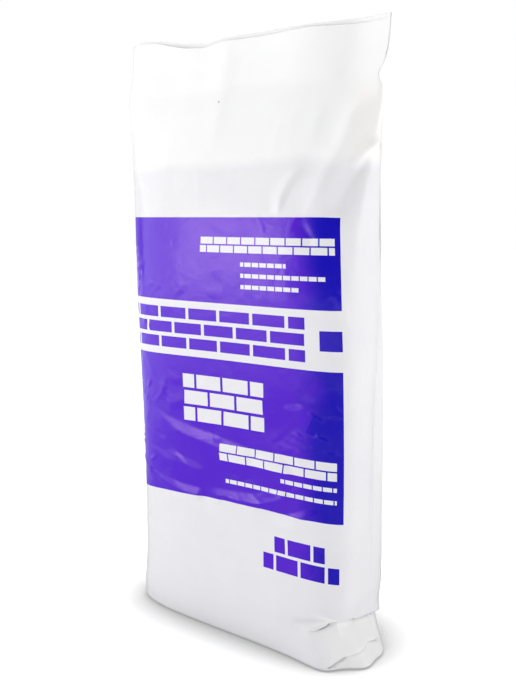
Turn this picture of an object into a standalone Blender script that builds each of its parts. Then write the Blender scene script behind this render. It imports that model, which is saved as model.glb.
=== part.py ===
"""A small pillow bag of cement, standing upright.

A flat tube of white polyethylene film is welded across its top, folded flat under its foot and
packed with cement powder. Metres, +Z up, +X to the bag's right, the printed front faces -Y.
The origin is the middle of the flat base.
"""

import math

import bmesh
import bpy

# Driving dimensions of the sack
BAG_HEIGHT = 0.4045
WELD_LOW = 0.3675
WELD_HIGH = 0.3705
FILL_LEVEL = 0.318
BASE_EDGE_RADIUS = 0.003

# The film, and the air gap that keeps the powder off it
FILM = 0.00015
CLEARANCE = 0.0003

# The two free lips above the weld: the front one is cut lower, and the left corner stands up
FRONT_LIP_DROP = 0.003
LEFT_CORNER_RISE = 0.007
LEFT_CORNER_START = -0.060
LEFT_CORNER_END = -0.098

# The foot's right ear and front right toe, and the left ear behind: which way round the section
# each stands out, how far, and how wide it is
EARS = (
    (math.radians(-6), 0.0135, math.radians(17)),
    (math.radians(-47), 0.0095, math.radians(24)),
    (math.radians(160), 0.0080, math.radians(22)),
)
EAR_FULL_HEIGHT = 0.004
EAR_FADE_HEIGHT = 0.022

# One needle vent in the head space, in the front film
VENT_DIAMETER = 0.0015
VENT_PLACE = (-0.022, 0.358)
VENT_CUT = (-0.026, -0.006)

# How finely the skins are divided
SIDES = 56
EDGE_STEPS = 3
EAR_HEIGHTS = (0.007, 0.012, 0.018, 0.024)
HEIGHTS = (0.032, 0.045, 0.070, 0.110, 0.150, 0.190, 0.225, 0.255, 0.280, 0.300)
SHOULDER_HEIGHTS = (0.318, 0.330, 0.342, 0.352, 0.360)
LIP_HEIGHTS = (0.378, 0.390)

# Horizontal sections of the packed sack, from the floor up: height, reach to the left and to the
# right, half depth, how far back its middle lies, and the squareness of its front and of its back
# (2 is an ellipse)
STATIONS = (
    (0.000, 0.0880, 0.0970, 0.0390, -0.0010, 4.0, 3.0),
    (0.012, 0.0880, 0.0965, 0.0390, -0.0010, 4.0, 3.1),
    (0.030, 0.0875, 0.0940, 0.0385, -0.0005, 3.9, 3.2),
    (0.045, 0.0875, 0.0980, 0.0382, -0.0005, 3.8, 3.3),
    (0.090, 0.0885, 0.0978, 0.0378, -0.0005, 3.7, 3.3),
    (0.140, 0.0905, 0.0982, 0.0370, -0.0010, 3.6, 3.3),
    (0.200, 0.0940, 0.0980, 0.0360, -0.0020, 3.4, 3.2),
    (0.240, 0.0960, 0.0972, 0.0345, -0.0028, 3.4, 3.1),
    (0.270, 0.0985, 0.0975, 0.0320, -0.0032, 3.2, 2.9),
    (0.300, 0.1025, 0.0990, 0.0270, -0.0038, 2.9, 2.6),
    (0.330, 0.1085, 0.1010, 0.0185, -0.0042, 2.5, 2.3),
    (0.352, 0.1125, 0.1020, 0.0090, -0.0045, 2.2, 2.1),
    (0.366, 0.1150, 0.0995, 0.0016, -0.0045, 2.0, 2.0),
    (0.369, 0.1155, 0.0990, 0.0004, -0.0043, 2.0, 2.0),
    (0.376, 0.1145, 0.1025, 0.0007, -0.0030, 2.0, 2.0),
    (0.388, 0.1140, 0.1042, 0.0008, -0.0010, 2.0, 2.0),
    (0.412, 0.1145, 0.1045, 0.0008, 0.0010, 2.0, 2.0),
)

WHITE_FILM = (0.87, 0.88, 0.90)
GREY_POWDER = (0.36, 0.35, 0.33)


def clear_scene():
    for old in list(bpy.data.objects):
        bpy.data.objects.remove(old)


def section_at(height):
    """The stations' sizes at this height, joined by cubics whose slopes come from the neighbours."""
    above = next((i for i, row in enumerate(STATIONS) if row[0] > height), len(STATIONS) - 1)
    low, high = STATIONS[above - 1], STATIONS[above]
    before = STATIONS[max(above - 2, 0)]
    after = STATIONS[min(above + 1, len(STATIONS) - 1)]
    span = high[0] - low[0]
    t = (height - low[0]) / span
    sizes = []
    for size in range(1, len(low)):
        slope_low = (high[size] - before[size]) / (high[0] - before[0])
        slope_high = (after[size] - low[size]) / (after[0] - low[0])
        sizes.append(
            (2 * t**3 - 3 * t**2 + 1) * low[size]
            + (t**3 - 2 * t**2 + t) * span * slope_low
            + (3 * t**2 - 2 * t**3) * high[size]
            + (t**3 - t**2) * span * slope_high
        )
    return sizes


def power(value, exponent):
    return math.copysign(abs(value) ** exponent, value)


def smooth_step(value, start, end):
    t = min(max((value - start) / (end - start), 0), 1)
    return t * t * (3 - 2 * t)


def ear_push(angle, height):
    """How far the ears move this point of the section, along X and along Y."""
    fade = 1 - smooth_step(height, EAR_FULL_HEIGHT, EAR_FADE_HEIGHT)
    push_x, push_y = 0, 0
    for direction, reach, spread in EARS:
        turn = math.remainder(angle - direction, 2 * math.pi)
        push = fade * reach * math.exp(-((turn / spread) ** 2))
        push_x += push * math.cos(direction)
        push_y += push * math.sin(direction)
    return push_x, push_y


def ring(height, inset):
    """One closed section as points, inset from the film's outer face."""
    left, right, depth, middle_y, front_squareness, back_squareness = section_at(height)
    middle_x = (right - left) / 2
    half_width = (right + left) / 2 - inset
    points = []
    for side in range(SIDES):
        angle = 2 * math.pi * side / SIDES
        bend = 2 / (back_squareness if math.sin(angle) > 0 else front_squareness)
        push_x, push_y = ear_push(angle, height)
        x = middle_x + half_width * power(math.cos(angle), bend) + push_x
        y = middle_y + (depth - inset) * power(math.sin(angle), bend) + push_y
        points.append((x, y, height))
    return points


def packed_rings(inset, heights):
    """Rings from the flat base, round its edge and up the sides, nested inside the outer face."""
    rings = []
    for step in range(EDGE_STEPS + 1):
        turn = math.pi / 2 * step / EDGE_STEPS
        radius = BASE_EDGE_RADIUS - inset
        height = inset + radius * (1 - math.cos(turn))
        rings.append(ring(height, inset + radius * (1 - math.sin(turn))))
    return rings + [ring(height, inset) for height in heights]


def top_edge(inset):
    """The free edges of the two lips."""
    points = []
    for side, (x, y, height) in enumerate(ring(BAG_HEIGHT, inset)):
        frontness = (1 - math.sin(2 * math.pi * side / SIDES)) / 2
        rise = LEFT_CORNER_RISE * smooth_step(x, LEFT_CORNER_START, LEFT_CORNER_END)
        points.append((x, y, height + rise - FRONT_LIP_DROP * frontness))
    return points


def add_skin(mesh, rings, faces_out=True):
    """Joins the rings by triangles, all split the same way, and closes the first and the last."""
    loops = [[mesh.verts.new(point) for point in points] for points in rings]

    def face(*corners):
        mesh.faces.new(corners if faces_out else corners[::-1])

    for lower, upper in zip(loops, loops[1:]):
        for side in range(SIDES):
            following = (side + 1) % SIDES
            face(lower[side], lower[following], upper[following])
            face(lower[side], upper[following], upper[side])
    face(*loops[0][::-1])
    face(*loops[-1])


def make_object(name, mesh, material):
    data = bpy.data.meshes.new(name)
    mesh.to_mesh(data)
    mesh.free()
    data.shade_smooth()
    data.set_sharp_from_angle(angle=math.radians(50))
    data.materials.append(material)
    piece = bpy.data.objects.new(name, data)
    bpy.context.collection.objects.link(piece)
    return piece


def plain_material(name, colour, roughness):
    material = bpy.data.materials.new(name)
    material.use_nodes = True
    shader = material.node_tree.nodes["Principled BSDF"]
    shader.inputs["Base Color"].default_value = (*colour, 1)
    shader.inputs["Roughness"].default_value = roughness
    shader.inputs["Metallic"].default_value = 0
    return material


def vent_cutter():
    """A short rod through the front film only."""
    front_end, back_end = VENT_CUT
    bpy.ops.mesh.primitive_cylinder_add(
        vertices=12,
        radius=VENT_DIAMETER / 2,
        depth=back_end - front_end,
        location=(VENT_PLACE[0], (front_end + back_end) / 2, VENT_PLACE[1]),
        rotation=(math.pi / 2, 0, 0),
    )
    cutter = bpy.context.object
    cutter.name = "vent_cutter"
    cutter.hide_render = True
    cutter.display_type = "WIRE"
    return cutter


def film_sack():
    """The welded tube: an outer face with the open mouth between its lips, and an inner face."""
    mesh = bmesh.new()
    packed = (*EAR_HEIGHTS, *HEIGHTS, *SHOULDER_HEIGHTS)
    outside = packed_rings(0, (*packed, WELD_LOW, WELD_HIGH, *LIP_HEIGHTS))
    mouth = [ring(height, FILM) for height in (*LIP_HEIGHTS[::-1], WELD_HIGH + 0.003)]
    add_skin(mesh, outside + [top_edge(0), top_edge(FILM)] + mouth)
    inside = packed_rings(FILM, (*packed, WELD_LOW - 0.001))
    add_skin(mesh, inside, faces_out=False)
    sack = make_object("film_sack", mesh, plain_material("white_film", WHITE_FILM, 0.32))
    vent = sack.modifiers.new("vent", "BOOLEAN")
    vent.operation = "DIFFERENCE"
    vent.solver = "EXACT"
    vent.object = vent_cutter()
    return sack


def cement_fill():
    """The powder, settled against the film and level at the top."""
    mesh = bmesh.new()
    add_skin(mesh, packed_rings(FILM + CLEARANCE, (*EAR_HEIGHTS, *HEIGHTS, FILL_LEVEL)))
    return make_object("cement_fill", mesh, plain_material("grey_powder", GREY_POWDER, 0.95))


clear_scene()
film_sack()
cement_fill()
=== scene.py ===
"""The looks of a small upright bag of cement: its white film, violet print, folds and powder."""

import math

import bpy
import numpy as np
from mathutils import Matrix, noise


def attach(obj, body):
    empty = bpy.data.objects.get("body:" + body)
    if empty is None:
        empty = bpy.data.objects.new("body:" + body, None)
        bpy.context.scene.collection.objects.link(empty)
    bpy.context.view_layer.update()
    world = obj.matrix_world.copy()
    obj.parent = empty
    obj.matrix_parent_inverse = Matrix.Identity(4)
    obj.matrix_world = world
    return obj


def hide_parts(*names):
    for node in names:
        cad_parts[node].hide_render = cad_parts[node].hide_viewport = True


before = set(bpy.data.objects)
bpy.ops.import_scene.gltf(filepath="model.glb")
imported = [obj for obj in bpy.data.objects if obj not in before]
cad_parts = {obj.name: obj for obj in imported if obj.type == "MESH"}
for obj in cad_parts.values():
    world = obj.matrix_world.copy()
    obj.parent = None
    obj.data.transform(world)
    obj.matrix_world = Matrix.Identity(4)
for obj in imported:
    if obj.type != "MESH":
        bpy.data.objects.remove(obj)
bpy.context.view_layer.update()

# Camera
# It stands a step back from the bag's right front corner, a little under the height of its
# shoulders, and looks slightly down, as a 46 mm lens on a full frame camera does.
lens_mm = 46.26
sensor_height_mm = 36.0
camera_azimuth = math.radians(38.6)
camera_pitch = math.radians(8.2)
camera_place = (0.3832, -0.4748, 0.2837)


def add_object(name, data):
    """An object with this mesh, light or camera, put in the scene."""
    made = bpy.data.objects.new(name, data)
    bpy.context.scene.collection.objects.link(made)
    return made


camera_data = bpy.data.cameras.new("camera")
camera_data.sensor_fit = "VERTICAL"
camera_data.sensor_height = sensor_height_mm
camera_data.lens = lens_mm
camera_data.clip_start = 0.01
camera = add_object("camera", camera_data)
camera.location = camera_place
camera.rotation_euler = (math.pi / 2 - camera_pitch, 0, camera_azimuth)
bpy.context.scene.camera = camera
bpy.context.scene.view_settings.view_transform = "Standard"


# Film sack: its shape
# The real sack is one flat tube of white polyethylene film, about 0.15 mm thick, welded across
# near the top and folded flat under the foot. The powder spreads it into a rounded box, and the
# spare film gathers in soft folds at the shoulders, along both sides and at the foot's corners.
film = 0.00015
lay_flat_width = 0.230
bag_height = 0.4045
fill_level = 0.318
foot_edge_radius = 0.003

# Sections from the floor up, nearly as the sack's solid has them: height, reach to the left and
# right, half depth, how far back the middle lies, and the squareness of the front and of the back
sections = np.array((
    (0.000, 0.0880, 0.0970, 0.0390, -0.0010, 4.0, 3.0),
    (0.012, 0.0880, 0.0965, 0.0390, -0.0010, 4.0, 3.1),
    (0.030, 0.0875, 0.0968, 0.0385, -0.0005, 3.9, 3.2),
    (0.045, 0.0875, 0.0980, 0.0382, -0.0005, 3.8, 3.3),
    (0.090, 0.0885, 0.0978, 0.0378, -0.0005, 3.7, 3.3),
    (0.140, 0.0905, 0.0982, 0.0370, -0.0010, 3.6, 3.3),
    (0.200, 0.0940, 0.0980, 0.0360, -0.0020, 3.4, 3.2),
    (0.240, 0.0960, 0.0972, 0.0345, -0.0028, 3.4, 3.1),
    (0.270, 0.0985, 0.0975, 0.0320, -0.0032, 3.2, 2.9),
    (0.300, 0.1025, 0.0990, 0.0270, -0.0038, 2.9, 2.6),
    (0.330, 0.1085, 0.1010, 0.0185, -0.0042, 2.5, 2.3),
    (0.352, 0.1125, 0.1028, 0.0090, -0.0045, 2.2, 2.1),
    (0.361, 0.1142, 0.1022, 0.0042, -0.0045, 2.1, 2.0),
    (0.366, 0.1150, 0.0995, 0.0016, -0.0045, 2.0, 2.0),
    (0.369, 0.1155, 0.0990, 0.0004, -0.0043, 2.0, 2.0),
    (0.376, 0.1145, 0.1025, 0.0007, -0.0030, 2.0, 2.0),
    (0.388, 0.1140, 0.1042, 0.0008, -0.0010, 2.0, 2.0),
    (0.412, 0.1145, 0.1045, 0.0008, 0.0010, 2.0, 2.0),
))

# Below the shoulder, the front stays flat nearly up to its right corner
right_corner_squareness = 1.28
corner_fade = (0.24, 0.34)

# The foot's ears: which way round the section each stands out, how far, and how wide it is
ears = (
    (math.radians(-6), 0.0135, math.radians(17)),
    (math.radians(-47), 0.0095, math.radians(24)),
    (math.radians(160), 0.0080, math.radians(22)),
)
ear_full_height = 0.002
ear_top = 0.027
section_steps = 900

# The grid: columns crowd a little towards the bag's two edges, and rows lie closest where the
# foot is creased and on the lower part of the print, where the film breaks into the finest facets.
# The back is plainer, and has half as many columns.
front_columns = 216
back_columns = 108
edge_crowding = 0.25
foot_edge_steps = 3
inner_foot_shares = (0.25, 0.5, 0.75, 0.92)
lower_crease, upper_crease, creased_height = 0.0100, 0.0240, 0.0350
crease_offsets = np.array((-0.0011, -0.0006, -0.00025, 0, 0.00025, 0.0006, 0.0011))
crease_reach = crease_offsets[-1]
wall_heights = np.concatenate((
    np.arange(foot_edge_radius, 0.0086, 0.0009),
    lower_crease + crease_offsets,
    np.arange(0.0119, 0.0226, 0.0009),
    upper_crease + crease_offsets,
    np.arange(0.0260, creased_height, 0.0011),
    np.arange(creased_height, 0.086, 0.0018),
    np.arange(0.086, 0.168, 0.0008),
    np.arange(0.168, 0.290, 0.00185),
    np.arange(0.290, 0.372, 0.0024),
    np.arange(0.372, bag_height - 0.001, 0.0020),
    (bag_height - 0.0003,),
))


def smooth_step(value, start, end):
    t = np.clip((value - start) / (end - start), 0, 1)
    return t * t * (3 - 2 * t)


def cubic(t, span, low, high, slope_low, slope_high):
    """The value a share t of the way over a span, on a cubic with these slopes at its two ends."""
    return (
        (2 * t**3 - 3 * t**2 + 1) * low
        + (t**3 - 2 * t**2 + t) * span * slope_low
        + (3 * t**2 - 2 * t**3) * high
        + (t**3 - t**2) * span * slope_high
    )


def section_at(height):
    """The section's sizes at this height, on cubics through the rows above."""
    heights, sizes = sections[:, 0], sections[:, 1:]
    above = int(np.clip(np.searchsorted(heights, height, "right"), 1, len(heights) - 1))
    before, after = max(above - 2, 0), min(above + 1, len(heights) - 1)
    span = heights[above] - heights[above - 1]
    t = (height - heights[above - 1]) / span
    slope_low = (sizes[above] - sizes[before]) / (heights[above] - heights[before])
    slope_high = (sizes[after] - sizes[above - 1]) / (heights[after] - heights[above - 1])
    return cubic(t, span, sizes[above - 1], sizes[above], slope_low, slope_high)


def spread(count):
    """Shares of the way round, from 0 to 1, that crowd towards both ends."""
    even = np.linspace(0, 1, count + 1)
    return even - edge_crowding * np.sin(2 * math.pi * even) / (2 * math.pi)


def half_section(height, inset, turns, shares):
    """Points of the section between these turns round it, at these shares of its length."""
    left, right, depth, middle_y, front_squareness, back_squareness = section_at(height)
    fine = np.linspace(turns[0], turns[1], section_steps)
    right_front = front_squareness * np.interp(height, corner_fade, (right_corner_squareness, 1))
    front = np.where(np.cos(fine) > 0, right_front, front_squareness)
    bend = 2 / np.where(np.sin(fine) > 0, back_squareness, front)
    along_x = np.sign(np.cos(fine)) * np.abs(np.cos(fine)) ** bend
    along_y = np.sign(np.sin(fine)) * np.abs(np.sin(fine)) ** bend
    x = (right - left) / 2 + ((right + left) / 2 - inset) * along_x
    y = middle_y + (depth - inset) * along_y
    fade = np.interp(height, (ear_full_height, ear_top), (1, 0))
    for direction, reach, width in ears:
        turn = np.remainder(fine - direction + math.pi, 2 * math.pi) - math.pi
        push = fade * reach * np.exp(-((turn / width) ** 2))
        x = x + push * math.cos(direction)
        y = y + push * math.sin(direction)
    length = np.concatenate(([0], np.cumsum(np.hypot(np.diff(x), np.diff(y)))))
    spots = shares * length[-1]
    return np.stack((np.interp(spots, length, x), np.interp(spots, length, y)), axis=1)


def ring(height, inset=0.0):
    """The whole section, from the left edge across the front to the right and round the back."""
    front = half_section(height, inset, (math.pi, 2 * math.pi), spread(front_columns))
    back = half_section(height, inset, (0, math.pi), spread(back_columns))
    flat = np.concatenate((front[:-1], back[:-1]))
    return np.column_stack((flat, np.full(len(flat), height)))


def foot_rings():
    """The flat foot inside its edge, and the edge's small rounding."""
    edge = []
    for turn in np.linspace(0, math.pi / 2, foot_edge_steps + 1)[:-1]:
        height = foot_edge_radius * (1 - math.cos(turn))
        edge.append(ring(height, foot_edge_radius * (1 - math.sin(turn))))
    middle = edge[0].mean(axis=0)
    inner = [middle + (edge[0] - middle) * share for share in inner_foot_shares]
    return inner + edge


def curve_through(points, steps=7):
    """A smooth curve through a few points, as many short straight pieces."""
    points = np.array(points, float)
    ends = np.concatenate(([2 * points[0] - points[1]], points, [2 * points[-1] - points[-2]]))
    curve = []
    for p0, p1, p2, p3 in zip(ends, ends[1:], ends[2:], ends[3:]):
        for t in np.arange(steps) / steps:
            bend = (2 * p0 - 5 * p1 + 4 * p2 - p3) * t**2 + (3 * p1 - p0 - 3 * p2 + p3) * t**3
            curve.append(0.5 * (2 * p1 + (p2 - p0) * t + bend))
    return np.array(curve + [points[-1]])


columns = front_columns + back_columns
across = np.concatenate((spread(front_columns)[:-1] - 0.5, spread(back_columns)[:-1] + 0.5))
across = across * lay_flat_width

# The foot was folded flat before it was filled, so its right front corner is pinched along two
# lines: how far across and up the film each point lies, and how strong the pinch is there
upper_pinch = (
    (0.0660, 0.0210, 0.0), (0.0712, 0.0228, 0.3), (0.0800, 0.0272, 1.0), (0.0850, 0.0288, 0.6),
    (0.0890, 0.0290, 1.1), (0.0960, 0.0286, 1.2), (0.1075, 0.0262, 0.6), (0.1200, 0.0246, 1.0),
    (0.1290, 0.0224, 1.1), (0.1400, 0.0222, 1.0), (0.1500, 0.0225, 0.0),
)
lower_pinch = (
    (0.0745, 0.0034, 0.0), (0.0765, 0.0036, 0.8), (0.0839, 0.0067, 0.9), (0.0883, 0.0087, 0.25),
    (0.1061, 0.0123, 0.3), (0.1092, 0.0118, 0.4), (0.1180, 0.0098, 1.0), (0.1240, 0.0102, 0.8),
    (0.1320, 0.0104, 0.0),
)


def height_over(path):
    """The height of a pinch over each column, and level past both its ends."""
    curve = curve_through(path)
    return np.interp(across, curve[:, 0], curve[:, 1])


def around_pinches(low, low_reach, high):
    """Heights just below and just above each pinch, between the foot's edge and the rows above."""
    low_pair = (low - low_reach, low + low_reach)
    high_pair = (high - crease_reach, high + crease_reach)
    return (foot_edge_radius, *low_pair, *high_pair, creased_height)


# The rows nearest to a pinch are moved along the film onto it, so that it comes out sharp
wall = np.array([ring(height) for height in wall_heights])
planned = around_pinches(lower_crease, crease_reach, upper_crease)
for column, (low, high) in enumerate(zip(height_over(lower_pinch), height_over(upper_pinch))):
    low_reach = min(crease_reach, 0.5 * (low - foot_edge_radius))
    moved = np.interp(wall_heights, planned, around_pinches(low, low_reach, high))
    heights = np.where(wall_heights < creased_height, moved, wall_heights)
    for axis in range(3):
        wall[:, column, axis] = np.interp(heights, wall_heights, wall[:, column, axis])

# The mouth goes down between the two free lips, to just above the weld
mouth_heights = (bag_height, bag_height - 0.0003, 0.4000, 0.3940, 0.3860, 0.3780, 0.3735)
mouth = np.array([ring(height, film) for height in mouth_heights])
outer = np.concatenate((foot_rings(), wall, [ring(bag_height)]))
skin = np.concatenate((outer, mouth))
rows = len(skin)
film_u = np.broadcast_to(across, (rows, columns))
film_v = skin[:, :, 2].copy()
is_front = film_u < lay_flat_width / 2


# Film sack: its free lips
# Above the weld the two films hang loose. They wave a little along the bag, the front one is cut
# lower, and near the left corner it has sprung away from the back one.
weld_top = 0.3715
back_edge = (
    (-0.1155, 0.4075), (-0.1105, 0.4107), (-0.1031, 0.4109), (-0.0827, 0.4084), (-0.0630, 0.4050),
    (-0.0439, 0.4028), (-0.0211, 0.4046), (0.0215, 0.4043), (0.0680, 0.4038), (0.1045, 0.4034),
)
front_edge = (
    (-0.1155, 0.4075), (-0.1061, 0.4093), (-0.0896, 0.4080), (-0.0740, 0.4040), (-0.0600, 0.4010),
    (-0.0440, 0.3996), (-0.0282, 0.4020), (0.0050, 0.4014), (0.0462, 0.4022), (0.0768, 0.4006),
    (0.1000, 0.4006), (0.1046, 0.4026),
)

# Waves that both films share: middle across the bag, half width, and how far back it goes. They
# grow between two heights. So does the sprung corner, where the back film leans the other way.
lip_waves = (
    (-0.075, 0.020, 0.0008),
    (-0.022, 0.008, -0.0009),
    (0.040, 0.020, -0.0016),
    (0.083, 0.017, 0.0028),
)
wave_rise = (0.300, 0.376)
sprung_middle, sprung_half_width, sprung_reach = -0.061, 0.016, 0.0014
sprung_rise = (0.383, 0.402)
sprung_back_share = 0.2


def bump(value, middle, half_width):
    return np.exp(-(((value - middle) / half_width) ** 2))


x = skin[:, :, 0]
z = skin[:, :, 2]
edge_height = np.where(
    is_front,
    np.interp(x, *np.transpose(front_edge)),
    np.interp(x, *np.transpose(back_edge)),
)
stretch = (edge_height - weld_top) / (bag_height - weld_top)
skin[:, :, 2] = np.where(z > weld_top, weld_top + (z - weld_top) * stretch, z)
wave = sum(push * bump(x, middle, half_width) for middle, half_width, push in lip_waves)
skin[:, :, 1] += wave * smooth_step(film_v, *wave_rise)
sprung = sprung_reach * bump(x, sprung_middle, sprung_half_width) * smooth_step(film_v, *sprung_rise)
skin[:, :, 1] -= np.where(is_front, sprung, -sprung_back_share * sprung)


# Film sack: folds and creases
# Thin film can't stretch over the powder, so its spare width stands up in rounded ridges, breaks
# into flat facets with soft edges, and is pinched into sharp creases where the foot was folded.
def skin_normals(points):
    """Outward normals of a grid whose columns go round from the left to the right at the front."""
    around = np.roll(points, -1, axis=1) - np.roll(points, 1, axis=1)
    rising = np.gradient(points, axis=0)
    normals = np.cross(around, rising)
    return normals / np.maximum(np.linalg.norm(normals, axis=2, keepdims=True), 1e-12)


def follow(points, reach):
    """Which points of the film lie near a path, how far off, what share of the way along it, and
    the path's third number there. The distance off the path is positive on its left hand.
    """
    curve = curve_through(points)
    middle = curve[:, 0].mean()
    whole = 2 * lay_flat_width
    u = np.remainder(film_u - middle + whole / 2, whole) - whole / 2 + middle
    near = (u > curve[:, 0].min() - reach) & (u < curve[:, 0].max() + reach)
    near &= (film_v > curve[:, 1].min() - reach) & (film_v < curve[:, 1].max() + reach)
    spots = np.column_stack((u[near], film_v[near]))
    best = np.full(len(spots), np.inf)
    off = np.zeros(len(spots))
    along = np.zeros(len(spots))
    lengths = np.linalg.norm(np.diff(curve[:, :2], axis=0), axis=1)
    starts = np.concatenate(([0], np.cumsum(lengths)))
    for start, end, gone, length in zip(curve[:, :2], curve[1:, :2], starts, lengths):
        way = (end - start) / max(length, 1e-9)
        offset = spots - start
        forward = np.clip(offset @ way, 0, length)
        gap = np.linalg.norm(offset - forward[:, None] * way, axis=1)
        closer = gap < best
        best[closer] = gap[closer]
        left_hand = way[0] * offset[:, 1] - way[1] * offset[:, 0]
        off[closer] = (np.sign(left_hand) * gap)[closer]
        along[closer] = (gone + forward)[closer]
    third = np.interp(along, starts, curve[:, 2]) if curve.shape[1] == 3 else None
    return near, off, along / starts[-1], third


def fold_relief(kind, height, width, points, widths_out=3.2, steep_share=0.35):
    """How far a rounded fold lifts every point of the film. A tuck is steep on its right hand."""
    near, off, t, _ = follow(points, widths_out * width)
    side = np.where((off < 0) & (kind == "tuck"), width * steep_share, width)
    lift = np.exp(-((off / side) ** 2)) * (-1 if kind == "valley" else 1)
    relief = np.zeros(film_u.shape)
    relief[near] = height * smooth_step(t, 0, 0.3) * (1 - smooth_step(t, 0.7, 1)) * lift
    return relief


def soft_corner(value, radius=0.0003):
    """Zero below zero and the value itself above, with a small round corner between."""
    return (value + np.sqrt(value**2 + radius**2)) / 2


def facet_relief(tilt, fall, points):
    """A flat strip of film that rises to its right hand, and sinks back over the fall beyond it.

    Each point of the path gives the strip's half width there.
    """
    near, off, t, half = follow(points, fall + 2 * max(point[2] for point in points))
    rise = soft_corner(half - off) - soft_corner(-half - off)
    back = 1 - smooth_step(-off - half, 0, fall)
    relief = np.zeros(film_u.shape)
    ends = smooth_step(t, 0, 0.15) * (1 - smooth_step(t, 0.85, 1))
    relief[near] = math.tan(math.radians(tilt)) * rise * back * ends
    return relief


def pinch_relief(lip, groove, flap, flap_fall, points, lip_fall=0.004, groove_half_width=0.0009):
    """A sharp groove: the film above it stands out in a lip, and the flap below is drawn in."""
    near, off, _, strength = follow(points, max(flap_fall, 0.015))
    drawn = -flap * np.clip(1 + off / flap_fall, 0, 1)
    lift = np.where(off > 0, lip * np.exp(-off / lip_fall), drawn)
    lift -= groove * np.clip(1 - np.abs(off) / groove_half_width, 0, 1)
    relief = np.zeros(film_u.shape)
    relief[near] = strength * lift
    return relief


# Rounded folds: kind, height, half width, and path across and up the film
shoulder_folds = (
    ("ridge", 0.0028, 0.0080, (
        (0.1030, 0.3620), (0.0949, 0.3415), (0.0915, 0.3264), (0.0844, 0.3146), (0.0739, 0.2955),
        (0.0640, 0.2810),
    )),
    ("valley", 0.0034, 0.0075, ((0.1080, 0.3250), (0.0990, 0.3100), (0.0910, 0.2950), (0.0810, 0.2760))),
    ("ridge", 0.0028, 0.0028, ((0.0940, 0.3100), (0.1025, 0.3205), (0.1081, 0.3250), (0.1180, 0.3300))),
    ("tuck", 0.0016, 0.0055, (
        (0.0445, 0.2840), (0.0470, 0.2900), (0.0500, 0.2970), (0.0560, 0.3060), (0.0660, 0.3150),
    )),
    ("ridge", 0.0004, 0.0050, ((0.0740, 0.3520), (0.0690, 0.3400), (0.0660, 0.3300))),
    ("ridge", 0.0004, 0.0080, ((-0.0200, 0.3980), (-0.0240, 0.3800), (-0.0260, 0.3580))),
    ("ridge", 0.0012, 0.0090, ((-0.1010, 0.3520), (-0.0940, 0.3300), (-0.0900, 0.3000))),
)
panel_folds = (
    ("valley", 0.0014, 0.0085, ((0.1000, 0.3050), (0.0950, 0.2780), (0.0930, 0.2400), (0.0950, 0.1900))),
    ("valley", 0.0012, 0.0110, ((0.0340, 0.1400), (0.0520, 0.1520), (0.0700, 0.1600))),
    ("ridge", 0.0003, 0.0010, ((0.0305, 0.2850), (0.0334, 0.2791), (0.0360, 0.2720))),
    ("ridge", 0.0004, 0.0007, (
        (-0.0825, 0.0992), (-0.0696, 0.1002), (-0.0619, 0.0983), (-0.0545, 0.0915),
    )),
    ("valley", 0.0009, 0.0040, ((0.0580, 0.2810), (0.0660, 0.2740), (0.0720, 0.2620))),
)
tube_edges = (
    ("ridge", 0.0012, 0.0014, (
        (0.1200, 0.3500), (0.1192, 0.2938), (0.1226, 0.2319), (0.1164, 0.1688), (0.1147, 0.1033),
        (0.1141, 0.0577), (0.1159, 0.0305),
    )),
    ("ridge", 0.0010, 0.0014, (
        (-0.1130, 0.3500), (-0.1130, 0.2500), (-0.1120, 0.1500), (-0.1130, 0.0400),
    )),
)
foot_folds = (
    ("valley", 0.0014, 0.0020, ((0.0520, 0.0240), (0.0644, 0.0270), (0.0748, 0.0292), (0.0850, 0.0300))),
)

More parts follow.
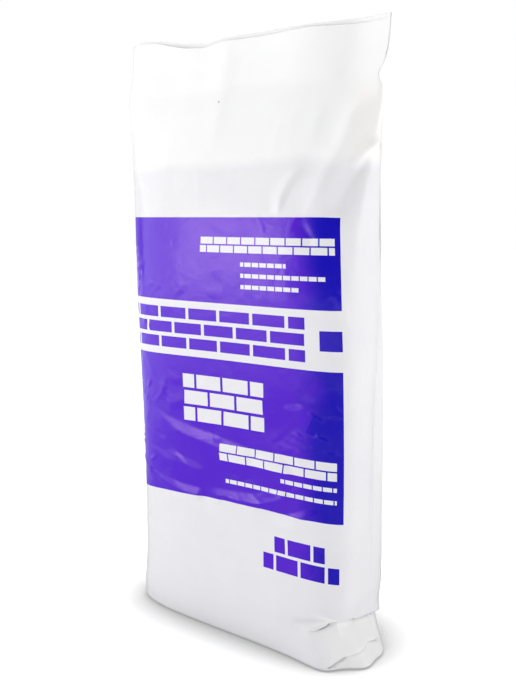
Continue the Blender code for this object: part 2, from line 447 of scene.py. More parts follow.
# Facets: tilt in degrees, fall, and path with the half width at each of its points
facets = (
    (12.0, 0.014, (
        (-0.0697, 0.1498, 0.0006), (-0.0598, 0.1460, 0.0015), (-0.0459, 0.1410, 0.0028),
        (-0.0322, 0.1379, 0.0037), (-0.0048, 0.1339, 0.0037), (0.0117, 0.1318, 0.0034),
        (0.0300, 0.1295, 0.0018),
    )),
    (9.0, 0.008, (
        (-0.0764, 0.1201, 0.0006), (-0.0624, 0.1181, 0.0014), (-0.0540, 0.1161, 0.0024),
        (-0.0382, 0.1160, 0.0029), (-0.0272, 0.1140, 0.0026), (-0.0142, 0.1120, 0.0012),
    )),
    (15.5, 0.008, (
        (-0.0656, 0.1012, 0.0006), (-0.0583, 0.0991, 0.0013), (-0.0495, 0.0973, 0.0022),
        (-0.0357, 0.0958, 0.0028), (-0.0247, 0.0958, 0.0028), (-0.0173, 0.0966, 0.0018),
    )),
    (14.0, 0.005, (
        (-0.0890, 0.1105, 0.0008), (-0.0830, 0.1080, 0.0014), (-0.0760, 0.1050, 0.0016),
        (-0.0700, 0.1020, 0.0008),
    )),
    (10.0, 0.004, (
        (-0.0155, 0.0913, 0.0012), (-0.0091, 0.0940, 0.0024), (-0.0037, 0.0948, 0.0026),
        (-0.0010, 0.0927, 0.0016),
    )),
    (6.0, 0.004, (
        (-0.0695, 0.1521, 0.0008), (-0.0627, 0.1575, 0.0012), (-0.0576, 0.1641, 0.0016),
        (-0.0532, 0.1754, 0.0012),
    )),
    (5.0, 0.005, ((-0.0504, 0.1757, 0.0018), (-0.0432, 0.1745, 0.0026), (-0.0363, 0.1732, 0.0012))),
    (5.5, 0.006, ((-0.0525, 0.1569, 0.0020), (-0.0440, 0.1588, 0.0032), (-0.0340, 0.1623, 0.0028))),
    (11.0, 0.004, (
        (0.0478, 0.1645, 0.0012), (0.0537, 0.1649, 0.0022), (0.0594, 0.1656, 0.0022),
        (0.0649, 0.1675, 0.0010),
    )),
    (13.0, 0.004, (
        (0.0662, 0.1644, 0.0009), (0.0702, 0.1623, 0.0015), (0.0740, 0.1598, 0.0015),
        (0.0778, 0.1566, 0.0006),
    )),
    (13.0, 0.004, (
        (0.0720, 0.1517, 0.0006), (0.0739, 0.1500, 0.0018), (0.0783, 0.1465, 0.0015),
        (0.0826, 0.1423, 0.0006),
    )),
    (4.0, 0.003, (
        (0.0366, 0.1438, 0.0030), (0.0429, 0.1487, 0.0035), (0.0506, 0.1562, 0.0030),
        (0.0558, 0.1620, 0.0010),
    )),
    (10.0, 0.003, ((0.0618, 0.1409, 0.0005), (0.0659, 0.1408, 0.0010), (0.0693, 0.1412, 0.0005))),
    (12.0, 0.006, (
        (0.0234, 0.1290, 0.0014), (0.0332, 0.1280, 0.0030), (0.0487, 0.1260, 0.0034),
        (0.0546, 0.1256, 0.0015),
    )),
    (12.0, 0.003, ((0.0516, 0.1107, 0.0008), (0.0567, 0.1126, 0.0014), (0.0617, 0.1150, 0.0006))),
    (14.0, 0.004, (
        (-0.0160, 0.0990, 0.0014), (-0.0010, 0.0992, 0.0026), (0.0147, 0.0996, 0.0034),
        (0.0297, 0.1012, 0.0036), (0.0433, 0.1059, 0.0030), (0.0546, 0.1106, 0.0016),
    )),
    (-5.0, 0.003, ((0.0272, 0.0953, 0.0010), (0.0394, 0.0985, 0.0014), (0.0480, 0.1010, 0.0008))),
    (16.0, 0.004, (
        (0.0440, 0.0895, 0.0012), (0.0550, 0.0945, 0.0026), (0.0660, 0.0988, 0.0024),
        (0.0760, 0.1015, 0.0008),
    )),
    (-3.0, 0.004, (
        (-0.0620, 0.2298, 0.0012), (-0.0550, 0.2365, 0.0020), (-0.0486, 0.2430, 0.0016),
        (-0.0445, 0.2473, 0.0006),
    )),
    (-3.0, 0.004, (
        (-0.0129, 0.2808, 0.0012), (-0.0030, 0.2789, 0.0020), (0.0075, 0.2764, 0.0022),
        (0.0185, 0.2765, 0.0016), (0.0291, 0.2784, 0.0006),
    )),
    (10.0, 0.006, ((0.0600, 0.0205, 0.0012), (0.0668, 0.0227, 0.0020), (0.0716, 0.0251, 0.0014))),
    (8.0, 0.008, ((0.0280, 0.0175, 0.0010), (0.0442, 0.0219, 0.0018), (0.0560, 0.0240, 0.0010))),
)

soft_relief = sum(fold_relief(*fold) for fold in shoulder_folds + panel_folds + tube_edges + foot_folds)
soft_relief = soft_relief + sum(facet_relief(*facet) for facet in facets)

# Smaller facets lie all over in loose families: how many, where from and to across and up the
# film, which way they run and how much that varies, how long they are, how far they tilt either
# way and how wide they are
facet_families = (
    (46, (-0.095, 0.020), (0.095, 0.190), -18, 18, (0.008, 0.030), (2.5, 7.0), (0.0006, 0.0020)),
    (34, (0.020, 0.088), (0.090, 0.175), -20, 35, (0.006, 0.018), (3.0, 9.0), (0.0006, 0.0018)),
    (22, (-0.095, 0.060), (0.228, 0.285), 20, 40, (0.008, 0.025), (0.8, 2.2), (0.0010, 0.0030)),
    (26, (-0.093, -0.071), (0.060, 0.280), 50, 35, (0.006, 0.015), (8.0, 18.0), (0.0005, 0.0012)),
    (16, (0.075, 0.130), (0.050, 0.280), 80, 25, (0.010, 0.030), (1.5, 4.0), (0.0008, 0.0020)),
    (16, (-0.100, 0.100), (0.030, 0.090), -5, 25, (0.010, 0.040), (1.5, 4.0), (0.0015, 0.0040)),
    (60, (0.145, 0.330), (0.030, 0.300), 8, 35, (0.012, 0.050), (3.0, 8.0), (0.0010, 0.0030)),
    (18, (-0.100, 0.060), (0.290, 0.350), 75, 25, (0.012, 0.035), (1.5, 4.0), (0.0015, 0.0040)),
    (30, (0.125, 0.335), (0.285, 0.350), 80, 30, (0.014, 0.040), (4.0, 10.0), (0.0015, 0.0040)),
)
facet_seed = 11
most_bend = 0.35
tip_share = 0.3
widths_to_fall = 2.5
rng = np.random.default_rng(facet_seed)
for count, across_range, up_range, lean, scatter, lengths, tilts, widths in facet_families:
    for _ in range(count):
        middle = np.array((rng.uniform(*across_range), rng.uniform(*up_range)))
        turn = math.radians(lean + rng.normal(0, scatter))
        half = rng.uniform(*lengths) / 2
        step = half * np.array((math.cos(turn), math.sin(turn)))
        aside = half * rng.uniform(-most_bend, most_bend) * np.array((-math.sin(turn), math.cos(turn)))
        width = rng.uniform(*widths)
        tilt = rng.uniform(*tilts) * rng.choice((-1, 1))
        path = (
            (*(middle - step), tip_share * width),
            (*(middle + aside), width),
            (*(middle + step), tip_share * width),
        )
        soft_relief += facet_relief(tilt, widths_to_fall * width, path)


# Film sack: its slack
# The film is a little wider than the packed powder needs. A coarse copy of it is let go as cloth
# over a copy drawn in a little from it, which stands for the powder, with the air drawn out, and
# where that copy buckles on the right rear side and the back, the film stands off the powder as
# much. The solver works best at ten times the size.
cloth_scale = 10.0
spare_width = 0.015
drawn_in = 0.0016
settling_frames = 22
held_rows = 3
# Where the buckles come in and fade out across and up the film, and how much calmer the head is
right_rear_edge, left_rear_edge = (0.137, 0.147), (0.330, 0.344)
above_foot, below_weld = (0.036, 0.050), (0.346, 0.360)
head_start, head_calm = (0.295, 0.320), 0.6

cloth_levels = np.arange(0.034, 0.3705, 0.0055)
film_heights = film_v[: len(outer), 0]
cloth_rows = np.unique([np.argmin(np.abs(film_heights - level)) for level in cloth_levels])
cloth_columns = np.concatenate((np.arange(0, front_columns, 4), np.arange(front_columns, columns, 2)))
cloth_rest = skin[cloth_rows][:, cloth_columns]
cloth_normals = skin_normals(skin)[cloth_rows][:, cloth_columns]


def wall_faces(count, around):
    """The four-sided faces between this many rings, each with this many points."""
    faces = []
    for row in range(count - 1):
        for column in range(around):
            here, following = row * around + column, row * around + (column + 1) % around
            faces.append((here, following, following + around, here + around))
    return faces


def open_tube(name, points):
    """A coarse tube through the points, open at both ends, at the simulation's scale."""
    mesh = bpy.data.meshes.new(name)
    mesh.from_pydata((points.reshape(-1, 3) * cloth_scale).tolist(), [], wall_faces(*points.shape[:2]))
    return add_object(name, mesh)


def settle_film():
    """How far the loose film ends up off its rest, along its normals, at the coarse points."""
    loose_film = open_tube("loose_film", cloth_rest)
    packed_side = open_tube("packed_side", cloth_rest - drawn_in * cloth_normals)
    packed_side.modifiers.new("collision", "COLLISION")
    packed_side.collision.thickness_outer = 0.002
    packed_side.collision.cloth_friction = 8
    count, around = cloth_rest.shape[:2]
    held = loose_film.vertex_groups.new(name="held")
    for row in range(count):
        weight = 1 - min(row, count - 1 - row) / held_rows
        if weight > 0:
            held.add(list(range(row * around, (row + 1) * around)), weight, "REPLACE")
    cloth = loose_film.modifiers.new("cloth", "CLOTH")
    settings = cloth.settings
    settings.quality = 5
    settings.mass = 0.2
    settings.tension_stiffness = settings.compression_stiffness = 30
    settings.shear_stiffness = 10
    settings.bending_stiffness = 0.05
    settings.tension_damping = settings.compression_damping = settings.shear_damping = 8
    settings.bending_damping = 0.5
    settings.air_damping = 3
    settings.vertex_group_mass = "held"
    settings.shrink_min = -spare_width
    settings.use_pressure = True
    settings.uniform_pressure_force = -1.5
    settings.effector_weights.gravity = 0
    cloth.collision_settings.distance_min = 0.004
    cloth.collision_settings.collision_quality = 2
    cloth.point_cache.frame_start, cloth.point_cache.frame_end = 1, settling_frames
    for moment in range(1, settling_frames + 1):
        bpy.context.scene.frame_set(moment)
    settled = loose_film.evaluated_get(bpy.context.evaluated_depsgraph_get())
    places = np.empty(3 * count * around)
    settled.data.vertices.foreach_get("co", places)
    bpy.context.scene.frame_set(1)
    for tube in (loose_film, packed_side):
        bpy.data.meshes.remove(tube.data)
    off = ((places.reshape(cloth_rest.shape) / cloth_scale - cloth_rest) * cloth_normals).sum(axis=2)
    return off - np.median(off)


def cubic_between(places, knots, values):
    """Rows of values at these places, on cubics through the rows of values at the knots."""
    slopes = np.gradient(values, knots, axis=0)
    above = np.clip(np.searchsorted(knots, places, "right"), 1, len(knots) - 1)
    span = (knots[above] - knots[above - 1])[:, None]
    t = np.clip((places - knots[above - 1])[:, None] / span, 0, 1)
    return cubic(t, span, values[above - 1], values[above], slopes[above - 1], slopes[above])


buckles = cubic_between(film_v[:, 0], film_heights[cloth_rows], settle_film())
closed_columns = np.append(cloth_columns, columns)
closed_buckles = np.concatenate((buckles, buckles[:, :1]), axis=1)
buckles = cubic_between(np.arange(columns), closed_columns, closed_buckles.T).T
on_back = smooth_step(film_u, *right_rear_edge) * (1 - smooth_step(film_u, *left_rear_edge))
on_back = on_back * smooth_step(film_v, *above_foot) * (1 - smooth_step(film_v, *below_weld))
on_back = on_back * (1 - head_calm * smooth_step(film_v, *head_start))
soft_relief += on_back * buckles

pinches = pinch_relief(lip=0.0008, groove=0.0026, flap=0.0024, flap_fall=0.0160, points=upper_pinch)
pinches += pinch_relief(lip=0.0006, groove=0.0028, flap=0.0008, flap_fall=0.0060, points=lower_pinch)
relief_start, relief_full = 0.0005, 0.0035
flat_foot = smooth_step(film_v, relief_start, relief_full)
smooth_skin = skin
skin = smooth_skin + skin_normals(smooth_skin) * ((soft_relief + pinches) * flat_foot)[:, :, None]


# Film sack: its mesh
# One closed skin: a fan under the foot, the walls, the free lips, and the mouth down to the weld.
print_sag = 3.7
print_level = 0.235
print_middle = 0.035


def print_height(u, v):
    """Where the film's print stands: towards the foot it sags a little at both sides."""
    sag = print_sag * np.maximum(print_level - v, 0) * (u - print_middle) ** 2
    return v + np.where(u < lay_flat_width / 2, sag, 0)


def build_mesh(name, rings, u, v):
    """A closed body through the rings: a fan under the foot, and the last ring bridged across."""
    count, around = rings.shape[:2]
    points = np.concatenate((rings.reshape(-1, 3), [rings[0].mean(axis=0)]))
    pole = len(points) - 1
    place = np.stack((u, print_height(u, v)), axis=2)
    last_column = place[:, :1] + (2 * lay_flat_width, 0)
    place = np.concatenate((place, last_column), axis=1).tolist()
    faces, uvs = wall_faces(count, around), []
    for low, high in zip(place, place[1:]):
        for column in range(around):
            uvs += low[column : column + 2] + high[column : column + 2][::-1]
    for column in range(around):
        faces.append(((column + 1) % around, column, pole))
        uvs += [place[0][column + 1], place[0][column], (0, 0)]
    last = (count - 1) * around
    for step in range(back_columns):
        front = (2 * step, 2 * step + 1, 2 * step + 2)
        back = ((-step - 1) % around, (-step) % around)
        loop = list(dict.fromkeys(front + back))
        faces.append(tuple(last + spot for spot in loop))
        uvs += [place[-1][spot] for spot in loop]
    mesh = bpy.data.meshes.new(name)
    mesh.from_pydata(points.tolist(), [], faces)
    layer = mesh.uv_layers.new(name="film")
    layer.data.foreach_set("uv", np.array(uvs, np.float32).ravel())
    mesh.shade_smooth()
    return mesh


sack_mesh = build_mesh("film_skin", skin, film_u, film_v)
sack = add_object("film_skin", sack_mesh)
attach(sack, "root")
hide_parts("film_sack")


# Film sack: its print and finish
# The film is white and lets the grey powder darken it a little. One violet ink is printed on the
# front: a panel, a white band, and plain brickwork in the band, on the panel and below it.
white_over_air = (0.94, 0.94, 0.94, 1)
# A painted warm reflection on the film under the right shoulder
warm_reflection_over_air = (0.97, 0.955, 0.94, 1)
white_over_powder = ((0.825, 0.82, 0.855, 1), (0.88, 0.875, 0.90, 1))
violet_ink = (0.100, 0.020, 0.67, 1)
blue_ink = (0.009, 0.006, 0.51, 1)
ink_sheen = (1.0, 0.65, 0.72, 1)
film_sheen = (0.38, 0.38, 0.38, 1)
# The vent's hole, painted as a dot of shade
painted_vent_shadow = (0.45, 0.45, 0.45, 1)

panel_left, panel_right = -0.098, 0.0886
panel_low, panel_high = 0.0945, 0.2833
band_low, band_high = 0.1900, 0.2272


def new_material(name):
    """A material with nodes, the tree that holds them, and its shader."""
    material = bpy.data.materials.new(name)
    material.use_nodes = True
    return material, material.node_tree, material.node_tree.nodes["Principled BSDF"]


film_material, tree, shader = new_material("printed_white_film")


def set_inputs(node, inputs):
    """Links a node's inputs or gives them a value, in order or by name."""
    pairs = inputs.items() if isinstance(inputs, dict) else enumerate(inputs)
    for key, value in pairs:
        if isinstance(value, bpy.types.NodeSocket):
            tree.links.new(value, node.inputs[key])
        elif value is not None:
            node.inputs[key].default_value = value


def add_node(kind, inputs=(), **settings):
    made = tree.nodes.new(kind)
    for key, value in settings.items():
        setattr(made, key, value)
    set_inputs(made, inputs)
    return made


def node_output(kind, inputs=(), **settings):
    """The first output of a new node."""
    return add_node(kind, inputs, **settings).outputs[0]


def calc(operation, *values):
    return node_output("ShaderNodeMath", values, operation=operation)


def mix_colours(share, first, second):
    return add_node("ShaderNodeMix", {0: share, 6: first, 7: second}, data_type="RGBA").outputs[2]


def ramp(value, low, high, start=0.0, end=1.0):
    """A soft change from start to end while the value goes from low to high."""
    inputs = {"Value": value, "From Min": low, "From Max": high, "To Min": start, "To Max": end}
    return node_output("ShaderNodeMapRange", inputs, interpolation_type="SMOOTHSTEP")


def noise_at(place, scale, detail=2.0, distortion=0.0):
    inputs = {"Vector": place, "Scale": scale, "Detail": detail, "Distortion": distortion}
    return node_output("ShaderNodeTexNoise", inputs)


def union(*masks):
    total = masks[0]
    for mask in masks[1:]:
        total = calc("MAXIMUM", total, mask)
    return total


film_map = add_node("ShaderNodeUVMap", uv_map="film").outputs["UV"]
print_place = add_node("ShaderNodeSeparateXYZ", (film_map,))
print_u, print_v = print_place.outputs[0], print_place.outputs[1]
solid_place = add_node("ShaderNodeTexCoord").outputs["Object"]
solid_height = add_node("ShaderNodeSeparateXYZ", (solid_place,)).outputs[2]


def between(value, low, high):
    return calc("MULTIPLY", calc("GREATER_THAN", value, low), calc("LESS_THAN", value, high))


def block(left, right, low, high):
    return calc("MULTIPLY", between(print_u, left, right), between(print_v, low, high))


def brickwork(left, right, low, high, brick, course, joint):
    """A mask of bricks inside a rectangle, with the sizes of brick, course and joint in millimetres."""
    corner = {"Vector": film_map, "Location": (-left * 1000, -low * 1000, 0), "Scale": (1000, 1000, 1000)}
    inputs = {
        "Vector": node_output("ShaderNodeMapping", corner),
        "Color1": (1, 1, 1, 1),
        "Color2": (1, 1, 1, 1),
        "Mortar": (0, 0, 0, 1),
        "Scale": 1.0,
        "Mortar Size": joint / 2,
        "Mortar Smooth": 0.0,
        "Brick Width": brick,
        "Row Height": course,
    }
    bricks = add_node("ShaderNodeTexBrick", inputs).outputs["Color"]
    return calc("MULTIPLY", block(left, right, low, high), calc("GREATER_THAN", bricks, 0.5))


white_on_violet = union(
    brickwork(-0.0175, 0.0851, 0.2600, 0.2710, 11.6, 5.5, 1.0),
    brickwork(0.0170, 0.0525, 0.2515, 0.2550, 6.0, 3.5, 0.8),
    brickwork(0.0170, 0.0790, 0.2443, 0.2478, 6.0, 3.5, 0.8),
    brickwork(0.0170, 0.0613, 0.2371, 0.2406, 6.0, 3.5, 0.8),
    brickwork(-0.0355, 0.0335, 0.1450, 0.1790, 23.0, 11.33, 2.0),
    brickwork(-0.0035, 0.0843, 0.1215, 0.1340, 14.83, 6.25, 1.0),
    brickwork(0.0459, 0.0843, 0.1145, 0.1180, 6.53, 3.5, 0.8),
    brickwork(0.0010, 0.0843, 0.1065, 0.1100, 6.53, 3.5, 0.8),
)
course_height = (band_high - band_low) / 3
toothed_band = union(
    block(panel_left, 0.0745, band_low, band_high),
    block(panel_left, 0.0888, band_low, band_low + course_height),
    block(panel_left, 0.0888, band_high - course_height, band_high),
)
violet_on_white = union(
    brickwork(panel_left, 0.0650, band_low + 0.0035, band_high - 0.0035, 27.3, 10.07, 2.6),
    brickwork(0.0321, 0.0860, 0.0545, 0.0670, 18.33, 12.5, 2.0),
    brickwork(0.0411, 0.0770, 0.0670, 0.0795, 18.30, 12.5, 2.0),
)
panel = block(panel_left, panel_right, panel_low, panel_high)
left_bare = calc("SUBTRACT", 1.0, union(white_on_violet, toothed_band))
printed = union(calc("MULTIPLY", panel, left_bare), violet_on_white)

# One needle vent lets the air out of the head space. Its hole is not cut but painted, a grey dot of shade
vent_place = (-0.0171, 0.3606, 0)
vent_radius = 0.0007
to_vent = add_node("ShaderNodeVectorMath", (film_map, vent_place), operation="DISTANCE").outputs["Value"]
vent = calc("LESS_THAN", to_vent, vent_radius)

# The powder behind the film darkens it below its level, with a soft uneven edge
level_drift = 0.010
blur_below, blur_above = 0.006, 0.004
drift = calc("MULTIPLY_ADD", noise_at(solid_place, 22.0), level_drift, -level_drift / 2)
level = calc("ADD", solid_height, drift)
# Under the right shoulder a warm reflection is painted into the film's colour
warm_reflection_left, warm_reflection_right, warm_reflection_top = (0.088, 0.104), (0.150, 0.130), (0.368, 0.355)
painted_warm_reflection = calc("MULTIPLY", ramp(print_u, *warm_reflection_left), ramp(print_u, *warm_reflection_right))
painted_warm_reflection = calc("MULTIPLY", painted_warm_reflection, ramp(solid_height, *warm_reflection_top))
over_air = mix_colours(painted_warm_reflection, white_over_air, warm_reflection_over_air)
over_powder = mix_colours(noise_at(solid_place, 38.0, 5.0), *white_over_powder)
above_powder = ramp(level, fill_level - blur_below, fill_level + blur_above)
white_film = mix_colours(above_powder, over_powder, over_air)

# The ink turns from violet to blue towards the panel's right edge. On the creased lower panel, small
# patches shift it either way: painted light and shade of the crease facets
turning_wander = 0.020
turning_from, turning_to = 0.056, 0.078
creased_above, creased_fully = 0.195, 0.180
patch_shift = 0.007
wandering = calc("SUBTRACT", print_u, turning_wander / 2)
turning = calc("MULTIPLY_ADD", noise_at(solid_place, 30.0), turning_wander, wandering)
creased = ramp(print_v, creased_above, creased_fully)
cells = add_node("ShaderNodeTexVoronoi", {"Vector": solid_place, "Scale": 75.0}).outputs["Color"]
cell_share = node_output("ShaderNodeSeparateXYZ", (cells,))
# Painted light and shade of the crease facets, as patches of bluer and more violet ink
patch = calc("MULTIPLY", calc("SUBTRACT", cell_share, 0.5), creased)
turning = calc("MULTIPLY_ADD", patch, patch_shift, turning)
ink = mix_colours(ramp(turning, turning_from, turning_to), violet_ink, blue_ink)

# The folded corner at the foot, below the sloping upper pinch, holds no powder
pinch_slope = 0.21
pinch_line = (0.0487, 0.0477)
empty_front, empty_rear = (0.066, 0.082), (0.150, 0.135)
below_pinch = ramp(calc("MULTIPLY_ADD", print_u, pinch_slope, solid_height), *pinch_line)
empty = calc("MULTIPLY", ramp(print_u, *empty_front), ramp(print_u, *empty_rear))
white_film = mix_colours(calc("MULTIPLY", below_pinch, empty), white_film, white_over_air)
# The vent's hole is a painted dot of shade on the film
bare_film = mix_colours(vent, white_film, painted_vent_shadow)

# The film's gloss varies a little, and it is finely crinkled and softly dented all over
glossiest, dullest = 0.14, 0.22
crinkle_share = 0.25
crinkle = noise_at(solid_place, 210.0, 3.0, 0.6)
soft_dents = noise_at(solid_place, 70.0, 2.0, 0.4)
surface = calc("MULTIPLY_ADD", crinkle, crinkle_share, soft_dents)
film_bump = node_output("ShaderNodeBump", {"Strength": 1.0, "Distance": 0.00035, "Height": surface})
film_finish = {
    "Base Color": mix_colours(printed, bare_film, ink),
    "Roughness": ramp(noise_at(solid_place, 60.0, 4.0), 0.3, 0.7, glossiest, dullest),
    "Specular IOR Level": 0.6,
    "Specular Tint": mix_colours(printed, film_sheen, ink_sheen),
    "Normal": film_bump,
}
set_inputs(shader, film_finish)
sack_mesh.materials.append(film_material)


# Cement powder
# The bag holds five kilograms of fine grey cement, poured in and shaken down against the film. Its
# top lies in a low mound with a few small clods on it, and the foot's folded corner stays empty.
# The film lets little light through, so the powder only darkens it up to its level.
powder_gap = 0.0015
nearby_steps = 4
# The powder stands further back in the foot's corner, between these places on the film
corner_retreat = 0.0045
corner_front, corner_rear, corner_top = (0.055, 0.070), (0.150, 0.175), (0.034, 0.048)

mound_height = 0.0032
mound_unevenness = 0.0009
lumps_per_metre = 60
mound_shares = (0.94, 0.84, 0.72, 0.58, 0.43, 0.28, 0.13)
packed_rows = np.arange(len(outer))[(film_v[: len(outer)].mean(axis=1) < fill_level)][::2]
powder_columns = np.arange(0, columns, 3)


def lowest_near(values, steps):
    """The lowest value within a few rows and columns of each point."""
    shifts = range(-steps, steps + 1)
    rolled = np.minimum.reduce([np.roll(values, shift, axis=1) for shift in shifts])
    padded = np.pad(rolled, ((steps, steps), (0, 0)), mode="edge")
    return np.minimum.reduce([padded[shift : shift + len(values)] for shift in range(2 * steps + 1)])


in_corner = smooth_step(film_u, *corner_front) * (1 - smooth_step(film_u, *corner_rear))
in_corner = in_corner * (1 - smooth_step(film_v, *corner_top))
lowest_film = lowest_near((soft_relief + pinches) * flat_foot, nearby_steps)
powder_inset = lowest_film - powder_gap - corner_retreat * in_corner
powder_skin = smooth_skin + skin_normals(smooth_skin) * powder_inset[:, :, None]
powder_skin = powder_skin[packed_rows][:, powder_columns]
powder_skin[:, :, 2] = np.maximum(powder_skin[:, :, 2], powder_gap)

rim = powder_skin[-1]
mound = []
for share in mound_shares:
    low_ring = rim.mean(axis=0) + (rim - rim.mean(axis=0)) * share
    lumps = np.array([noise.noise((lumps_per_metre * x, lumps_per_metre * y, 0)) for x, y, _ in low_ring])
    low_ring[:, 2] += (1 - share**2) * mound_height + (1 - share) * mound_unevenness * lumps
    mound.append(low_ring)


def build_powder(name, side_rings, top_rings):
    """A closed body through the rings, with a fan at each end. Its open top is marked for the clods."""
    rings = np.concatenate((side_rings, top_rings))
    count, around = rings.shape[:2]
    points = np.concatenate((rings.reshape(-1, 3), [rings[0].mean(axis=0), rings[-1].mean(axis=0)]))
    foot_pole, top_pole = len(points) - 2, len(points) - 1
    faces = wall_faces(count, around)
    last = (count - 1) * around
    for column in range(around):
        following = (column + 1) % around
        faces.append((following, column, foot_pole))
        faces.append((last + column, last + following, top_pole))
    mesh = bpy.data.meshes.new(name)
    mesh.from_pydata(points.tolist(), [], faces)
    mesh.shade_smooth()
    open_top = np.zeros(len(points))
    open_top[len(side_rings) * around :] = 1
    open_top[foot_pole] = 0
    mesh.attributes.new("open_top", "FLOAT", "POINT").data.foreach_set("value", open_top)
    return mesh


powder_mesh = build_powder("cement_powder", powder_skin, mound)
powder = add_object("cement_powder", powder_mesh)

powder_material, tree, shader = new_material("grey_cement_powder")
solid_place = add_node("ShaderNodeTexCoord").outputs["Object"]
grain = noise_at(solid_place, 420.0, 6.0)
clumps = noise_at(solid_place, 45.0, 3.0)
dark_cement, light_cement = (0.30, 0.29, 0.27, 1), (0.42, 0.41, 0.39, 1)
powder_bump = node_output("ShaderNodeBump", {"Strength": 0.7, "Distance": 0.0004, "Height": grain})
powder_finish = {
    "Base Color": mix_colours(clumps, dark_cement, light_cement),
    "Roughness": 0.95,
    "Normal": powder_bump,
}
set_inputs(shader, powder_finish)
powder_mesh.materials.append(powder_material)

# Clods lie scattered over the open top, each a rough pebble half sunk in the powder
clod_sizes = {"Clod radius": 0.0013, "Spacing": 0.0042, "Seed": 7}
clods_per_square_metre = 60000.0
clod_roughness = 0.0011
smallest_clod, largest_clod = (0.3, 0.3, 0.25), (1.0, 1.0, 0.7)
tree = bpy.data.node_groups.new("clods_on_powder", "GeometryNodeTree")
tree.interface.new_socket("Geometry", in_out="INPUT", socket_type="NodeSocketGeometry")
clod_sockets = {
    name: tree.interface.new_socket(name, in_out="INPUT", socket_type=kind).identifier
    for name, kind in zip(clod_sizes, ("NodeSocketFloat", "NodeSocketFloat", "NodeSocketInt"))
}
tree.interface.new_socket("Geometry", in_out="OUTPUT", socket_type="NodeSocketGeometry")
given = add_node("NodeGroupInput").outputs
open_top = add_node("GeometryNodeInputNamedAttribute", {"Name": "open_top"}).outputs["Attribute"]
strewn = {
    "Mesh": given["Geometry"],
    "Distance Min": given["Spacing"],
    "Density Max": clods_per_square_metre,
    "Density Factor": open_top,
    "Seed": given["Seed"],
}
spots = node_output("GeometryNodeDistributePointsOnFaces", strewn, distribute_method="POISSON")
pebble = node_output("GeometryNodeMeshIcoSphere", {"Radius": given["Clod radius"], "Subdivisions": 2})
pebble_noise = add_node("ShaderNodeTexNoise", {"Scale": 900.0, "Detail": 1.0}).outputs["Color"]
centred = node_output("ShaderNodeVectorMath", (pebble_noise, (0.5, 0.5, 0.5)), operation="SUBTRACT")
push = node_output("ShaderNodeVectorMath", {0: centred, "Scale": clod_roughness}, operation="SCALE")
rough_pebble = node_output("GeometryNodeSetPosition", {"Geometry": pebble, "Offset": push})
pebble_looks = {"Geometry": rough_pebble, "Material": powder_material}
cement_pebble = node_output("GeometryNodeSetMaterial", pebble_looks)
turned = {"Min": (0, 0, 0), "Max": (math.tau, math.tau, math.tau), "Seed": given["Seed"]}
sized = {"Min": smallest_clod, "Max": largest_clod, "Seed": given["Seed"]}
clods = {
    "Points": spots,
    "Instance": node_output("GeometryNodeSetShadeSmooth", {"Geometry": cement_pebble}),
    "Rotation": node_output("FunctionNodeRandomValue", turned, data_type="FLOAT_VECTOR"),
    "Scale": node_output("FunctionNodeRandomValue", sized, data_type="FLOAT_VECTOR"),
}
placed_clods = node_output("GeometryNodeInstanceOnPoints", clods)
real_clods = node_output("GeometryNodeRealizeInstances", (placed_clods,))
joined = add_node("GeometryNodeJoinGeometry")
tree.links.new(given["Geometry"], joined.inputs[0])
tree.links.new(real_clods, joined.inputs[0])
finished = {"Geometry": joined.outputs[0], "Material": powder_material}
add_node("NodeGroupOutput", (node_output("GeometryNodeSetMaterial", finished),))

scattering = powder.modifiers.new("clods", "NODES")
scattering.node_group = tree
for name, value in clod_sizes.items():
    scattering[clod_sockets[name]] = value
seen = powder.evaluated_get(bpy.context.evaluated_depsgraph_get())
powder_with_clods = bpy.data.meshes.new_from_object(seen)
powder.modifiers.clear()
powder.data = powder_with_clods
powder_with_clods.attributes.remove(powder_with_clods.attributes["open_top"])
powder_with_clods.attributes.remove(powder_with_clods.attributes["material_index"])
powder_with_clods.materials.clear()
powder_with_clods.materials.append(powder_material)

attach(powder, "root")
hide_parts("cement_fill")


# Studio
# A white sweep with a large soft light on the left and a small brighter one low in front of it,
# one on the right, one above, and two behind. The side that the camera stands on is left dim, so
# that the film's gloss has something dark to show.
bag_middle = 0.2


def soft_light(name, azimuth, elevation, distance, width, height, radiance):
    """A rectangular light that looks at the bag's middle, from this side of its front."""
    light = bpy.data.lights.new(name, "AREA")
    light.shape = "RECTANGLE"
    light.size, light.size_y = width, height
    light.energy = radiance * math.pi * width * height
    lamp = add_object(name, light)
    turn, rise = math.radians(azimuth), math.radians(elevation)
    away = (math.sin(turn) * math.cos(rise), -math.cos(turn) * math.cos(rise), math.sin(rise))
    lamp.location = (away[0] * distance, away[1] * distance, bag_middle + away[2] * distance)
    lamp.rotation_euler = (math.pi / 2 - rise, 0, turn)


soft_light("left_softbox", -52, 29.5, 1.5, 1.6, 1.9, 1.42)
soft_light("left_softbox_lamp", -39, 8.6, 1.4, 0.45, 0.38, 2.1)
soft_light("left_rear_softbox", -106, 20, 1.5, 1.1, 1.3, 0.42)
soft_light("right_softbox", 102, 25, 1.4, 0.9, 1.5, 1.9)
soft_light("top_softbox", 0, 82, 1.6, 1.2, 1.2, 1.0)
soft_light("rear_softbox", 178, 30, 1.6, 1.2, 1.2, 1.2)
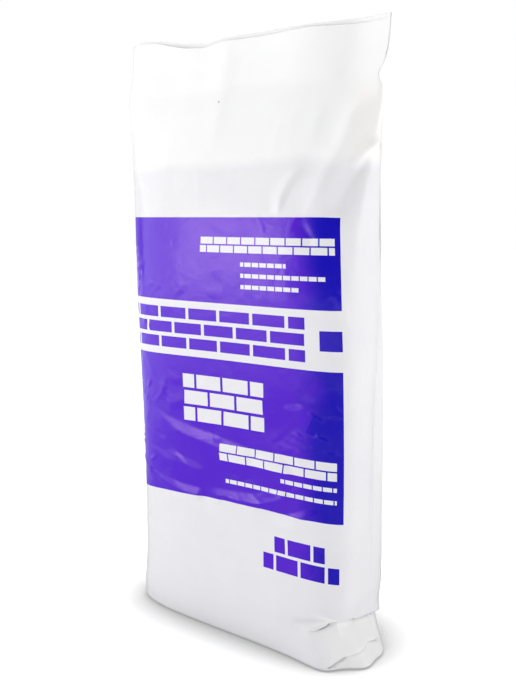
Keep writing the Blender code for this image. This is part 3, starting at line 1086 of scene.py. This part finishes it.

# The floor's glow brings it up to white away from the bag. At the foot, ambient occlusion darkens
# its colour and glow into a soft painted shadow.
# The film's gloss sees a floor that is dim in front of the camera.
glow_near, glow_far = 0.52, 1.0
glow_start, glow_end = 0.40, 2.2
dim_place = (0.25, -0.60, 0)
dim_radius, bright_radius = 0.55, 1.25
mirrored_dim, mirrored_bright = 0.085, 0.85
shadow_reach = 0.045
darkest_painted_shadow = 0.42
floor_half = 6
floor_mesh = bpy.data.meshes.new("floor")
floor_corners = [(x * floor_half, y * floor_half, 0) for x, y in ((-1, -1), (1, -1), (1, 1), (-1, 1))]
floor_mesh.from_pydata(floor_corners, [], [(0, 1, 2, 3)])
floor = add_object("floor", floor_mesh)
floor_material, tree, floor_shader = new_material("white_sweep")
floor_place = add_node("ShaderNodeTexCoord").outputs["Object"]
distance = add_node("ShaderNodeVectorMath", (floor_place,), operation="LENGTH").outputs["Value"]
open_sky = add_node("ShaderNodeAmbientOcclusion", {"Distance": shadow_reach}, samples=8).outputs["AO"]
# The painted shadow: ambient occlusion near the bag darkens the floor's colour and glow
shade = ramp(open_sky, darkest_painted_shadow, 1.0, darkest_painted_shadow, 1.0)
glow = calc("MULTIPLY", ramp(distance, glow_start, glow_end, glow_near, glow_far), shade)
floor_finish = {
    "Base Color": mix_colours(shade, (0, 0, 0, 1), (0.85, 0.85, 0.85, 1)),
    "Roughness": 0.9,
    "Emission Color": (1, 1, 1, 1),
    "Emission Strength": glow,
}
set_inputs(floor_shader, floor_finish)
from_dim = add_node("ShaderNodeVectorMath", (floor_place, dim_place), operation="DISTANCE").outputs["Value"]
mirrored_glow = ramp(from_dim, dim_radius, bright_radius, mirrored_dim, mirrored_bright)
mirrored = node_output("ShaderNodeEmission", (None, mirrored_glow))
seen_in_gloss = add_node("ShaderNodeLightPath").outputs["Is Glossy Ray"]
floor_looks = node_output("ShaderNodeMixShader", (seen_in_gloss, floor_shader.outputs[0], mirrored))
set_inputs(tree.nodes["Material Output"], {"Surface": floor_looks})
floor_mesh.materials.append(floor_material)

# The surroundings are white to the camera, light the bag a little, and look dim in its gloss
seen_strength, lighting_strength, mirrored_strength = 1.0, 0.22, 0.035
world = bpy.data.worlds.new("studio")
world.use_nodes = True
tree = world.node_tree
ray = add_node("ShaderNodeLightPath").outputs
by_gloss = {"Value": ray["Is Glossy Ray"], "To Min": lighting_strength, "To Max": mirrored_strength}
unseen = node_output("ShaderNodeMapRange", by_gloss)
by_camera = {"Value": ray["Is Camera Ray"], "To Min": unseen, "To Max": seen_strength}
strength = node_output("ShaderNodeMapRange", by_camera)
set_inputs(tree.nodes["Background"], {"Color": (1, 1, 1, 1), "Strength": strength})
bpy.context.scene.world = world
